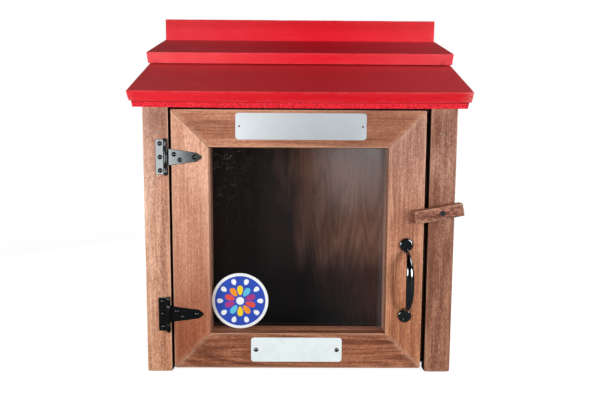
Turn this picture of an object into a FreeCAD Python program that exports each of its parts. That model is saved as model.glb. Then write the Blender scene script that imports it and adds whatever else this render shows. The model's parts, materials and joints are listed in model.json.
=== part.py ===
import FreeCAD, Part

import math
import os

from FreeCAD import Placement, Rotation, Vector

# A book exchange box: a small wooden cabinet with a glazed door and a lapped board roof.
# Millimetres. X runs to the right, Y to the back and Z up, and the door faces -Y.
# The origin is the centre of the underside. A depth is counted back from the posts' front face.

# Timber
BOARD = 19.0
UPPER_BOARD = 21.0
BACK_PLY = 12.0
DECK_PLY = 11.5
EASED = 1.0

# Cabinet
CABINET_WIDTH = 551.6
CABINET_DEPTH = 208.0
LEFT_POST_WIDTH = 44.6
RIGHT_POST_WIDTH = 46.8
CLEAT_BACK = 57.0
STOP_WIDTH = 12.0
HEAD_STOP_BOTTOM = 458.0

# Roof
ROOF_LENGTH = 591.6
RIDGE_LENGTH = 588.6
EAVE_TOP = 499.6
EAVE_REACH = 20.0
LOWER_SLOPE = 31.0
LOWER_BOARD_WIDTH = 167.0
UPPER_SLOPE = 25.1
LAP = 32.1
DECK_LENGTH = 583.4
DECK_SETBACK = 2.0
STRIP_WIDTH = 35.0
RIDGE_TOP = 692.6
RIDGE_HEIGHT = 141.3

# Door
HINGE_GAP = 4.6
LATCH_GAP = 7.7
DOOR_BOTTOM = 6.8
DOOR_TOP = 472.5
DOOR_CLEARANCE = 1.5
RAIL_WIDTH = 64.9
MITRE_GAP = 0.15
PANE_THICKNESS = 3.0
REBATE = 12.5
PANE_SLACK = 0.5

# Hinges
HINGE_HEIGHTS = {"upper": 389.4, "lower": 107.6}
HINGE_X = -235.2
KNUCKLE_RADIUS = 4.0
KNUCKLE_LIFT = 0.3
HINGE_PLATE = 2.0
LEAF_REACH = 18.1
LEAF_HEIGHT = 61.4
MIDDLE_KNUCKLE = 34.8
KNUCKLE_GAP = 0.3
PIN_RADIUS = 2.0
PIN_CLEARANCE = 0.05
PIN_HEAD_RADIUS = 3.4
PIN_HEAD = 1.8
PIN_HEAD_ROUND = 1.2
STRAP_ROOT_HALF = 15.3
STRAP_SHOULDER = 53.0
STRAP_SHOULDER_HALF = 8.0
STRAP_POINT = 65.0
STRAP_POINT_ROUND = 3.5
LEAF_SCREW_REACH = 10.4
LEAF_SCREW_PITCH = 23.5
STRAP_SCREWS = ((14.1, 4.9), (24.3, -4.9), (49.9, 0.0))

# Turn button
BUTTON_X = 247.4
BUTTON_Z = 294.7
BUTTON_LENGTH = 86.6
BUTTON_HEIGHT = 23.3
BUTTON_SCREW_FROM_LEFT = 48.8
BUTTON_TILT = 10.9
BUTTON_ROUND = 1.6
WASHER_THICKNESS = 1.2
WASHER_RADIUS = 7.0
BUTTON_CLEARANCE = 0.08

# Pull handle
HANDLE_X = 190.3
HANDLE_Z = 170.8
HANDLE_CENTRES = 129.4
FOOT_RADIUS = 12.2
FOOT_HEIGHT = 4.5
FOOT_ROUND = 2.7
DISH_RADIUS = 5.6
DISH_DEPTH = 1.2
BOW_HALF_HEIGHT = 54.0
BOW_OUT = 34.5
BOW_SQUARENESS = 2.8
BOW_NECK_HALF = 3.6
BOW_MIDDLE_HALF = 7.2
BOW_HALF_THICKNESS = 3.5
BOW_SECTIONS = 17

# Plates and sticker
PLATE_THICKNESS = 1.0
PLATE_CORNER = 5.5
SIGN_CENTRE = (1.2, 443.8)
SIGN_SIZE = (229.3, 46.5)
SIGN_PIN_REACH = 108.0
LOWER_PLATE_CENTRE = (-5.1, 41.6)
LOWER_PLATE_SIZE = (164.8, 45.0)
LOWER_SCREW_REACH = 73.3
STICKER_CENTRE = (-109.4, 126.0)
STICKER_RADIUS = 52.0
STICKER_THICKNESS = 0.3

# Fasteners
BORE_SLACK = 0.05
DRIVE_WIDTH = 0.9
DRIVE_DEPTH = 1.2
DRIVE_REACH_SHARE = 0.42
HEAD_ROUND_SHARE = 0.6
POINT_LENGTH_SHARE = 2.0
POINT_BLUNT_SHARE = 0.2

# Places of the nails and screws
POST_NAIL_OFFSET = 4.0
POST_NAIL_HEIGHTS = (49.0, 433.0)
SIDE_NAIL_HEIGHTS = (70.0, 250.0, 430.0)
FLOOR_NAIL_DEPTHS = (90.0, 165.0)
BACK_SCREW_HEIGHTS = (60.0, 300.0, 540.0)
FLOOR_SCREW_REACH = 130.0
RIDGE_SCREW_REACHES = (-240.0, -80.0, 80.0, 240.0)
RIDGE_SCREW_RISE = 25.0
ROOF_SCREW_REACHES = (-200.0, 0.0, 200.0)
LOWER_BOARD_SCREW_DEPTH = 100.0
UPPER_BOARD_SCREW_DEPTH = 184.0
DECK_NAIL_DISTANCES = (70.0, 140.0, 210.0)
GLAZING_SCREW_INSET = 26.0
GLAZING_SCREW_RISE = 32.0
GLAZING_SCREW_REACH = 110.0

# Small amounts for cutting clear, for telling edges apart and for the direction of a curve
CLEAR = 1.0
NEAR = 0.01
PARALLEL = 0.999
SMALL_TURN = 0.01

# Places that follow from the dimensions
FRONT = -CABINET_DEPTH / 2
HALF_WIDTH = CABINET_WIDTH / 2
LEFT_POST_INNER = LEFT_POST_WIDTH - HALF_WIDTH
RIGHT_POST_INNER = HALF_WIDTH - RIGHT_POST_WIDTH
SIDE_INNER = HALF_WIDTH - BOARD
BACK_FRONT = CABINET_DEPTH - BACK_PLY
DOOR_DEPTH = 2 * BOARD
STOP_FRONT = DOOR_DEPTH + DOOR_CLEARANCE
DOOR_LEFT = LEFT_POST_INNER + HINGE_GAP
DOOR_RIGHT = RIGHT_POST_INNER - LATCH_GAP
OPENING_LEFT = DOOR_LEFT + RAIL_WIDTH
OPENING_RIGHT = DOOR_RIGHT - RAIL_WIDTH
OPENING_BOTTOM = DOOR_BOTTOM + RAIL_WIDTH
OPENING_TOP = DOOR_TOP - RAIL_WIDTH
HINGE_DEPTH = -KNUCKLE_RADIUS - KNUCKLE_LIFT

TO_FRONT = Vector(0, -1, 0)
TO_BACK = Vector(0, 1, 0)
TO_LEFT = Vector(-1, 0, 0)
TO_RIGHT = Vector(1, 0, 0)

PARTS = {}


def block(x, depth, z):
    """A box between pairs of low and high values."""
    size = (x[1] - x[0], depth[1] - depth[0], z[1] - z[0])
    return Part.makeBox(*size, Vector(x[0], FRONT + depth[0], z[0]))


def side_outline(points, x):
    """A prism along X, from a side view's (depth, height) points."""
    corners = [Vector(x[0], FRONT + depth, z) for depth, z in points]
    face = Part.Face(Part.makePolygon(corners + corners[:1]))
    return face.extrude(Vector(x[1] - x[0], 0, 0))


def front_outline(points, depth):
    """A prism along Y, from a front view's (x, height) points."""
    corners = [Vector(x, FRONT + depth[0], z) for x, z in points]
    face = Part.Face(Part.makePolygon(corners + corners[:1]))
    return face.extrude(Vector(0, depth[1] - depth[0], 0))


def upright(x, depth, z, radius, height):
    """A cylinder that stands along Z."""
    return Part.makeCylinder(radius, height, Vector(x, FRONT + depth, z))


def along(shape, direction):
    """The straight edges of a shape that run along a direction."""
    found = []
    for edge in shape.Edges:
        if len(edge.Vertexes) < 2:
            continue
        run = edge.Vertexes[1].Point - edge.Vertexes[0].Point
        if run.Length and abs(run.normalize().dot(direction)) > PARALLEL:
            found.append(edge)
    return found


def eased(shape, radius=EASED):
    """A board with all its arrises rounded."""
    return shape.makeFillet(radius, shape.Edges)


def eased_along(shape, direction, radius=EASED):
    """A board with its long arrises rounded."""
    return shape.makeFillet(radius, along(shape, direction))


def climb(point, slope, distance):
    """The (depth, height) at a distance up a slope from a point."""
    angle = math.radians(slope)
    return point[0] + distance * math.cos(angle), point[1] + distance * math.sin(angle)


def sloping_board(top_front, slope, length, thickness):
    """The side view of a board that climbs to the back from its top front corner."""
    top_back = climb(top_front, slope, length)
    bottom_back = climb(top_back, slope - 90, thickness)
    bottom_front = climb(top_front, slope - 90, thickness)
    return [top_front, top_back, bottom_back, bottom_front]


LOWER_TOP_FRONT = (-EAVE_REACH, EAVE_TOP)
LOWER_OUTLINE = sloping_board(LOWER_TOP_FRONT, LOWER_SLOPE, LOWER_BOARD_WIDTH, BOARD)
DECK_TOP_FRONT = climb(LOWER_OUTLINE[3], LOWER_SLOPE, DECK_SETBACK)
DECK_BOTTOM_FRONT = climb(DECK_TOP_FRONT, LOWER_SLOPE - 90, DECK_PLY)
UPPER_BOTTOM_FRONT = climb(LOWER_OUTLINE[1], UPPER_SLOPE, -LAP)
UPPER_TOP_FRONT = climb(UPPER_BOTTOM_FRONT, UPPER_SLOPE + 90, UPPER_BOARD)


def deck_underside(depth):
    """The height of the deck's underside, which every board below it is bevelled to."""
    rise = math.tan(math.radians(LOWER_SLOPE))
    return DECK_BOTTOM_FRONT[1] + (depth - DECK_BOTTOM_FRONT[0]) * rise


def under_roof(depth, bottom, x):
    """A board between two depths, from a height up to the deck."""
    front, back = depth
    outline = [
        (front, bottom),
        (back, bottom),
        (back, deck_underside(back)),
        (front, deck_underside(front)),
    ]
    return side_outline(outline, x)


def on_both_sides(name, left_x, right_x, make):
    """Adds a left piece and a right one like it."""
    PARTS[name + "_left"] = make(left_x)
    PARTS[name + "_right"] = make(right_x)


def build_cabinet():
    """The case: floor, sides, back, posts, and the cleats and stops behind them."""
    floor = block((-SIDE_INNER, SIDE_INNER), (STOP_FRONT, BACK_FRONT), (0, BOARD))
    PARTS["floor_board"] = eased(floor)

    def side(x):
        return eased(under_roof((BOARD, BACK_FRONT), 0, x))

    def post(x):
        return eased(under_roof((0, BOARD), 0, x))

    def cleat(x):
        return eased(under_roof((BOARD, CLEAT_BACK), BOARD, x))

    def stop(x):
        return eased(block(x, (STOP_FRONT, CLEAT_BACK), (BOARD, HEAD_STOP_BOTTOM)))

    left, right = LEFT_POST_INNER, RIGHT_POST_INNER
    on_both_sides("side_panel", (-HALF_WIDTH, -SIDE_INNER), (SIDE_INNER, HALF_WIDTH), side)
    on_both_sides("post", (-HALF_WIDTH, left), (right, HALF_WIDTH), post)
    on_both_sides("cleat", (-SIDE_INNER, left), (right, SIDE_INNER), cleat)
    on_both_sides("stop", (left, left + STOP_WIDTH), (right - STOP_WIDTH, right), stop)

    between_posts = (left, right)
    head_stop = under_roof((STOP_FRONT, CLEAT_BACK), HEAD_STOP_BOTTOM, between_posts)
    PARTS["head_stop"] = eased(head_stop)
    back = under_roof((BACK_FRONT, CABINET_DEPTH), 0, (-HALF_WIDTH, HALF_WIDTH))
    PARTS["back_panel"] = eased(back)


def cut_at_ridge(shape):
    """A roof piece with its back end cut upright against the ridge board."""
    behind = block(
        (-ROOF_LENGTH, ROOF_LENGTH),
        (CABINET_DEPTH, 4 * CABINET_DEPTH),
        (0, 4 * CABINET_DEPTH),
    )
    return shape.cut(behind)


def contact_distance():
    """How far up the deck the packing strip's back edge meets the upper board's underside."""
    strip_start = climb(DECK_TOP_FRONT, LOWER_SLOPE + 90, DECK_PLY)
    rise = math.tan(math.radians(UPPER_SLOPE))
    gap = UPPER_BOTTOM_FRONT[1] + (strip_start[0] - UPPER_BOTTOM_FRONT[0]) * rise - strip_start[1]
    slope = math.radians(LOWER_SLOPE)
    return gap / (math.sin(slope) - math.cos(slope) * rise)


def build_roof():
    """Plywood deck, two lapped boards, the strip that packs up the upper one, and the ridge board."""
    deck_x = (-DECK_LENGTH / 2, DECK_LENGTH / 2)
    roof_x = (-ROOF_LENGTH / 2, ROOF_LENGTH / 2)
    ridge_x = (-RIDGE_LENGTH / 2, RIDGE_LENGTH / 2)
    strip_x = (-SIDE_INNER, SIDE_INNER)

    deck = sloping_board(DECK_TOP_FRONT, LOWER_SLOPE, 2 * CABINET_DEPTH, DECK_PLY)
    PARTS["roof_deck"] = eased(cut_at_ridge(side_outline(deck, deck_x)))
    PARTS["roof_board_lower"] = eased(side_outline(LOWER_OUTLINE, roof_x))

    strip_front = climb(DECK_TOP_FRONT, LOWER_SLOPE, contact_distance() - STRIP_WIDTH)
    strip_top = climb(strip_front, LOWER_SLOPE + 90, DECK_PLY)
    strip = sloping_board(strip_top, LOWER_SLOPE, STRIP_WIDTH, DECK_PLY)
    PARTS["packing_strip"] = cut_at_ridge(side_outline(strip, strip_x))

    upper = sloping_board(UPPER_TOP_FRONT, UPPER_SLOPE, 2 * CABINET_DEPTH, UPPER_BOARD)
    PARTS["roof_board_upper"] = eased(cut_at_ridge(side_outline(upper, roof_x)))

    ridge = block(
        ridge_x,
        (CABINET_DEPTH, CABINET_DEPTH + BOARD),
        (RIDGE_TOP - RIDGE_HEIGHT, RIDGE_TOP),
    )
    PARTS["ridge_board"] = eased(ridge)


def build_door_frame():
    """Four mitred rails, and behind them four rebated strips that hold the pane."""
    left, right = DOOR_LEFT, DOOR_RIGHT
    bottom, top = DOOR_BOTTOM, DOOR_TOP
    inset = RAIL_WIDTH
    skew = MITRE_GAP * math.sqrt(2)
    front_layer = (0, BOARD)
    rear_layer = (BOARD, DOOR_DEPTH)
    up = Vector(0, 0, 1)
    across = Vector(1, 0, 0)

    left_bar = eased_along(block((left, left + inset), front_layer, (bottom, top)), up)
    left_shape = [
        (left - skew, bottom),
        (left + inset, bottom + inset + skew),
        (left + inset, top - inset - skew),
        (left - skew, top),
    ]
    PARTS["door_stile_left"] = left_bar.common(front_outline(left_shape, front_layer))

    right_bar = eased_along(block((right - inset, right), front_layer, (bottom, top)), up)
    right_shape = [
        (right + skew, bottom),
        (right + skew, top),
        (right - inset, top - inset - skew),
        (right - inset, bottom + inset + skew),
    ]
    PARTS["door_stile_right"] = right_bar.common(front_outline(right_shape, front_layer))

    bottom_bar = eased_along(block((left, right), front_layer, (bottom, bottom + inset)), across)
    bottom_shape = [
        (left, bottom - skew),
        (right, bottom - skew),
        (right - inset - skew, bottom + inset),
        (left + inset + skew, bottom + inset),
    ]
    PARTS["door_rail_bottom"] = bottom_bar.common(front_outline(bottom_shape, front_layer))

    top_bar = eased_along(block((left, right), front_layer, (top - inset, top)), across)
    top_shape = [
        (left, top + skew),
        (left + inset + skew, top - inset),
        (right - inset - skew, top - inset),
        (right, top + skew),
    ]
    PARTS["door_rail_top"] = top_bar.common(front_outline(top_shape, front_layer))

    pocket = block(
        (OPENING_LEFT - REBATE, OPENING_RIGHT + REBATE),
        (BOARD, BOARD + PANE_THICKNESS),
        (OPENING_BOTTOM - REBATE, OPENING_TOP + REBATE),
    )
    strips = {
        "glazing_stile_left": ((left, left + inset), (bottom, top), up),
        "glazing_stile_right": ((right - inset, right), (bottom, top), up),
        "glazing_rail_bottom": ((left + inset, right - inset), (bottom, bottom + inset), across),
        "glazing_rail_top": ((left + inset, right - inset), (top - inset, top), across),
    }
    for name, (x, z, grain) in strips.items():
        PARTS[name] = eased_along(block(x, rear_layer, z), grain).cut(pocket)

    reach = REBATE - PANE_SLACK
    PARTS["glazing_pane"] = block(
        (OPENING_LEFT - reach, OPENING_RIGHT + reach),
        (BOARD, BOARD + PANE_THICKNESS),
        (OPENING_BOTTOM - reach, OPENING_TOP + reach),
    )


class Fastener:
    """A screw or nail along +Z, with its seat at the origin and its tip below."""

    def __init__(self, head, head_radius, head_height, shank_radius, length, recessed=True):
        self.head = head
        self.head_radius = head_radius
        self.head_height = head_height
        self.shank_radius = shank_radius
        self.length = length
        self.recessed = recessed
        self.stands = head in ("pan", "round")

    def head_solid(self, slack=0.0):
        """A pan or round head stands on its seat, a flat head is sunk in a cone, a nail's in a hole."""
        radius = self.head_radius + slack
        height = self.head_height
        if self.head == "round":
            curve = (radius ** 2 + height ** 2) / (2 * height)
            seat_angle = math.degrees(math.asin(1 - height / curve))
            middle = Vector(0, 0, height - curve)
            return Part.makeSphere(curve, middle, Vector(0, 0, 1), seat_angle, 90)
        if self.head == "pan":
            disc = Part.makeCylinder(radius, height)
            rim = [edge for edge in disc.Edges if edge.CenterOfMass.z > height - NEAR]
            return disc.makeFillet(HEAD_ROUND_SHARE * height, rim)
        if self.head == "flat":
            neck = self.shank_radius + slack
            return Part.makeCone(neck, radius, height, Vector(0, 0, -height))
        return Part.makeCylinder(radius, height, Vector(0, 0, -height))

    def solid(self):
        """The fastener itself, with its pointed tip and, on a screw, its cross recess."""
        radius = self.shank_radius
        point = POINT_LENGTH_SHARE * radius
        shank = Part.makeCylinder(radius, self.length - point, Vector(0, 0, point - self.length))
        blunt = POINT_BLUNT_SHARE * radius
        tip = Part.makeCone(blunt, radius, point, Vector(0, 0, -self.length))
        made = self.head_solid().fuse([shank, tip])
        if self.recessed:
            made = made.cut(self.drive())
        return made.removeSplitter().Solids[0]

    def drive(self):
        """The cross recess in a screw's head."""
        top = self.head_height if self.stands else 0.0
        reach = DRIVE_REACH_SHARE * self.head_radius
        half = DRIVE_WIDTH / 2
        low = top - DRIVE_DEPTH
        one = Part.makeBox(2 * reach, DRIVE_WIDTH, 2 * DRIVE_DEPTH, Vector(-reach, -half, low))
        other = Part.makeBox(DRIVE_WIDTH, 2 * reach, 2 * DRIVE_DEPTH, Vector(-half, -reach, low))
        return one.fuse(other)

    def bore(self, slack=BORE_SLACK):
        """The hole that the fastener needs below its seat."""
        radius = self.shank_radius + slack
        hole = Part.makeCylinder(radius, self.length + CLEAR, Vector(0, 0, -self.length))
        if self.stands:
            return hole
        return hole.fuse(self.head_solid(slack))


NAIL = Fastener("nail", 1.4, 2.0, 0.8, 38.0, recessed=False)
PIN_NAIL = Fastener("round", 1.7, 0.7, 0.7, 12.0, recessed=False)
HINGE_SCREW = Fastener("round", 4.2, 2.0, 1.8, 18.0)
PLATE_SCREW = Fastener("round", 4.2, 2.0, 1.8, 16.0)
HANDLE_SCREW = Fastener("flat", 4.0, 2.4, 1.9, 20.0)
GLAZING_SCREW = Fastener("flat", 3.8, 2.6, 1.8, 32.0)
BACK_SCREW = Fastener("pan", 4.0, 2.2, 1.9, 32.0)
RIDGE_SCREW = Fastener("flat", 4.0, 2.8, 1.9, 29.0)
ROOF_SCREW_SHORT = Fastener("pan", 4.0, 2.2, 1.9, 26.0)
ROOF_SCREW_LONG = Fastener("pan", 4.0, 2.2, 1.9, 37.0)
BUTTON_SCREW = Fastener("flat", 4.8, 3.4, 2.2, 55.0)


def seat(x, depth, z):
    """A point on the surface that a fastener is driven into."""
    return Vector(x, FRONT + depth, z)


def drive_in(name, fastener, seats, outward, pieces, slack=BORE_SLACK):
    """Adds a group of fasteners and bores their holes in the pieces that they pass through."""
    driven = PARTS[name].Solids if name in PARTS else []
    turn = Rotation(Vector(0, 0, 1), outward)
    for point in seats:
        place = Placement(point, turn)
        made = fastener.solid()
        made.Placement = place.multiply(made.Placement)
        driven.append(made)
        hole = fastener.bore(slack)
        hole.Placement = place.multiply(hole.Placement)
        for piece in pieces:
            if PARTS[piece].BoundBox.intersect(hole.BoundBox):
                PARTS[piece] = PARTS[piece].cut(hole)
    PARTS[name] = Part.makeCompound(driven)


def build_hinges():
    """Two T hinges: a leaf on the post, a strap on the door, and the pin through their knuckles."""
    for place, middle in HINGE_HEIGHTS.items():
        low = middle - LEAF_HEIGHT / 2
        high = middle + LEAF_HEIGHT / 2
        gap_low = middle - MIDDLE_KNUCKLE / 2 - KNUCKLE_GAP
        gap_high = middle + MIDDLE_KNUCKLE / 2 + KNUCKLE_GAP
        bore_radius = PIN_RADIUS + PIN_CLEARANCE
        bore = upright(HINGE_X, HINGE_DEPTH, low - CLEAR, bore_radius, LEAF_HEIGHT + 2 * CLEAR)
        plate_depth = (-HINGE_PLATE, 0)

        clear = KNUCKLE_RADIUS + 2 * KNUCKLE_GAP
        leaf = block((HINGE_X - LEAF_REACH, HINGE_X - clear), plate_depth, (low, high))
        for bottom, top in ((low, gap_low), (gap_high, high)):
            tab = block((HINGE_X - clear, HINGE_X), plate_depth, (bottom, top))
            knuckle = upright(HINGE_X, HINGE_DEPTH, bottom, KNUCKLE_RADIUS, top - bottom)
            leaf = leaf.fuse([tab, knuckle])
        PARTS["hinge_leaf_" + place] = leaf.cut(bore).removeSplitter()

        knuckle = upright(
            HINGE_X, HINGE_DEPTH, middle - MIDDLE_KNUCKLE / 2, KNUCKLE_RADIUS, MIDDLE_KNUCKLE
        )
        strap = strap_plate(middle, plate_depth).fuse(knuckle)
        PARTS["hinge_strap_" + place] = strap.cut(bore).removeSplitter()

        pin = upright(HINGE_X, HINGE_DEPTH, low, PIN_RADIUS, LEAF_HEIGHT)
        ends = []
        for bottom in (low - PIN_HEAD, high):
            end = upright(HINGE_X, HINGE_DEPTH, bottom, PIN_HEAD_RADIUS, PIN_HEAD)
            outer = bottom if bottom < middle else bottom + PIN_HEAD
            rim = [edge for edge in end.Edges if abs(edge.CenterOfMass.z - outer) < NEAR]
            ends.append(end.makeFillet(PIN_HEAD_ROUND, rim))
        PARTS["hinge_pin_" + place] = pin.fuse(ends).removeSplitter()

        leaf_seats = [
            seat(HINGE_X - LEAF_SCREW_REACH, -HINGE_PLATE, middle + step * LEAF_SCREW_PITCH)
            for step in (-1, 0, 1)
        ]
        held = ["hinge_leaf_" + place, "post_left", "cleat_left"]
        drive_in("leaf_screws_" + place, HINGE_SCREW, leaf_seats, TO_FRONT, held)

        strap_seats = [
            seat(HINGE_X + reach, -HINGE_PLATE, middle + rise) for reach, rise in STRAP_SCREWS
        ]
        held = ["hinge_strap_" + place, "door_stile_left"]
        drive_in("strap_screws_" + place, HINGE_SCREW, strap_seats, TO_FRONT, held)


def strap_plate(middle, depth):
    """A strap, which narrows from its knuckle to two shoulders and a rounded point."""
    shoulder = HINGE_X + STRAP_SHOULDER
    point = HINGE_X + STRAP_POINT
    outline = [
        (HINGE_X, middle - STRAP_ROOT_HALF),
        (shoulder, middle - STRAP_SHOULDER_HALF),
        (point, middle),
        (shoulder, middle + STRAP_SHOULDER_HALF),
        (HINGE_X, middle + STRAP_ROOT_HALF),
    ]
    plate = front_outline(outline, depth)
    corners = [edge for edge in along(plate, TO_BACK) if edge.CenterOfMass.x > shoulder - NEAR]
    return plate.makeFillet(STRAP_POINT_ROUND, corners)


def build_turn_button():
    """A wooden latch that turns on one screw, with a washer between it and the post."""
    left = BUTTON_X - BUTTON_SCREW_FROM_LEFT
    button = block(
        (left, left + BUTTON_LENGTH),
        (-WASHER_THICKNESS - BOARD, -WASHER_THICKNESS),
        (BUTTON_Z - BUTTON_HEIGHT / 2, BUTTON_Z + BUTTON_HEIGHT / 2),
    )
    button = eased(button, BUTTON_ROUND)
    button.rotate(seat(BUTTON_X, 0, BUTTON_Z), TO_FRONT, BUTTON_TILT)
    PARTS["turn_button"] = button

    washer = Part.makeCylinder(
        WASHER_RADIUS, WASHER_THICKNESS, seat(BUTTON_X, 0, BUTTON_Z), TO_FRONT
    )
    PARTS["button_washer"] = washer
    head = [seat(BUTTON_X, -WASHER_THICKNESS - BOARD, BUTTON_Z)]
    fixed = ["button_washer", "post_right", "cleat_right"]
    drive_in("button_screw", BUTTON_SCREW, head, TO_FRONT, fixed)
    hole = BUTTON_SCREW.bore(BUTTON_CLEARANCE)
    hole.Placement = Placement(head[0], Rotation(Vector(0, 0, 1), TO_FRONT))
    PARTS["turn_button"] = PARTS["turn_button"].cut(hole)


def bow_section(turn):
    """The oval section of the handle's bow at an angle from its lower end."""
    height = math.copysign(abs(math.cos(turn)) ** (2 / BOW_SQUARENESS), -math.cos(turn))
    out = math.sin(turn)
    ahead = turn + SMALL_TURN if turn < math.pi / 2 else turn - SMALL_TURN
    ahead_height = math.copysign(abs(math.cos(ahead)) ** (2 / BOW_SQUARENESS), -math.cos(ahead))
    run_up = (ahead_height - height) * BOW_HALF_HEIGHT
    run_out = (math.sin(ahead) - out) * BOW_OUT
    if turn >= math.pi / 2:
        run_up, run_out = -run_up, -run_out
    centre = Vector(HANDLE_X, FRONT - out * BOW_OUT, HANDLE_Z + height * BOW_HALF_HEIGHT)
    along_bow = Vector(0, -run_out, run_up)
    across = Vector(1, 0, 0)
    half_width = BOW_NECK_HALF + (BOW_MIDDLE_HALF - BOW_NECK_HALF) * out ** 3
    oval = Part.Ellipse(
        centre + across * half_width,
        centre + along_bow.cross(across).normalize() * BOW_HALF_THICKNESS,
        centre,
    )
    return Part.Wire(oval.toShape())


def build_handle():
    """A pull with two dished round feet and a bow between them."""
    turns = [math.pi * step / (BOW_SECTIONS - 1) for step in range(BOW_SECTIONS)]
    bow = Part.makeLoft([bow_section(turn) for turn in turns], True)
    door_face = block(
        (HANDLE_X - FOOT_RADIUS, HANDLE_X + FOOT_RADIUS),
        (0, BOARD),
        (HANDLE_Z - HANDLE_CENTRES, HANDLE_Z + HANDLE_CENTRES),
    )
    bow = bow.cut(door_face)
    feet = []
    seats = []
    for side in (-1, 1):
        z = HANDLE_Z + side * HANDLE_CENTRES / 2
        foot = Part.makeCylinder(FOOT_RADIUS, FOOT_HEIGHT, seat(HANDLE_X, 0, z), TO_FRONT)
        front = FRONT - FOOT_HEIGHT
        rim = [edge for edge in foot.Edges if abs(edge.CenterOfMass.y - front) < NEAR]
        foot = foot.makeFillet(FOOT_ROUND, rim)
        dish = Part.makeCylinder(
            DISH_RADIUS, FOOT_HEIGHT, seat(HANDLE_X, DISH_DEPTH - FOOT_HEIGHT, z), TO_FRONT
        )
        feet.append(foot.cut(dish))
        seats.append(seat(HANDLE_X, DISH_DEPTH - FOOT_HEIGHT, z))
    PARTS["pull_handle"] = bow.fuse(feet).removeSplitter()
    drive_in("handle_screws", HANDLE_SCREW, seats, TO_FRONT, ["pull_handle", "door_stile_right"])


def rounded_plate(centre, size):
    """A thin plate with round corners on the door's front."""
    half_width = size[0] / 2
    half_height = size[1] / 2
    plate = block(
        (centre[0] - half_width, centre[0] + half_width),
        (-PLATE_THICKNESS, 0),
        (centre[1] - half_height, centre[1] + half_height),
    )
    return plate.makeFillet(PLATE_CORNER, along(plate, Vector(0, 1, 0)))


def build_plates():
    """The sign plate, the lower plate and the round sticker on the pane."""
    PARTS["sign_plate"] = rounded_plate(SIGN_CENTRE, SIGN_SIZE)
    PARTS["lower_plate"] = rounded_plate(LOWER_PLATE_CENTRE, LOWER_PLATE_SIZE)
    sign_seats = []
    lower_seats = []
    for side in (-1, 1):
        sign_x = SIGN_CENTRE[0] + side * SIGN_PIN_REACH
        lower_x = LOWER_PLATE_CENTRE[0] + side * LOWER_SCREW_REACH
        sign_seats.append(seat(sign_x, -PLATE_THICKNESS, SIGN_CENTRE[1]))
        lower_seats.append(seat(lower_x, -PLATE_THICKNESS, LOWER_PLATE_CENTRE[1]))
    drive_in("sign_pins", PIN_NAIL, sign_seats, TO_FRONT, ["sign_plate", "door_rail_top"])
    held = ["lower_plate", "door_rail_bottom"]
    drive_in("lower_plate_screws", PLATE_SCREW, lower_seats, TO_FRONT, held)
    sticker_seat = seat(STICKER_CENTRE[0], BOARD, STICKER_CENTRE[1])
    PARTS["round_sticker"] = Part.makeCylinder(
        STICKER_RADIUS, STICKER_THICKNESS, sticker_seat, TO_FRONT
    )


def fasten_door():
    """The screws that clamp the glazing strips and the front frame together from behind."""
    low = DOOR_BOTTOM + GLAZING_SCREW_RISE
    high = DOOR_TOP - GLAZING_SCREW_RISE
    seats = []
    for x in (DOOR_LEFT + GLAZING_SCREW_INSET, DOOR_RIGHT - GLAZING_SCREW_INSET):
        seats += [seat(x, DOOR_DEPTH, z) for z in (low, (low + high) / 2, high)]
    for x in (-GLAZING_SCREW_REACH, GLAZING_SCREW_REACH):
        seats += [seat(x, DOOR_DEPTH, z) for z in (low, high)]
    held = [name for name in PARTS if name.startswith(("glazing_stile", "glazing_rail", "door_"))]
    drive_in("glazing_screws", GLAZING_SCREW, seats, TO_BACK, held)


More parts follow.
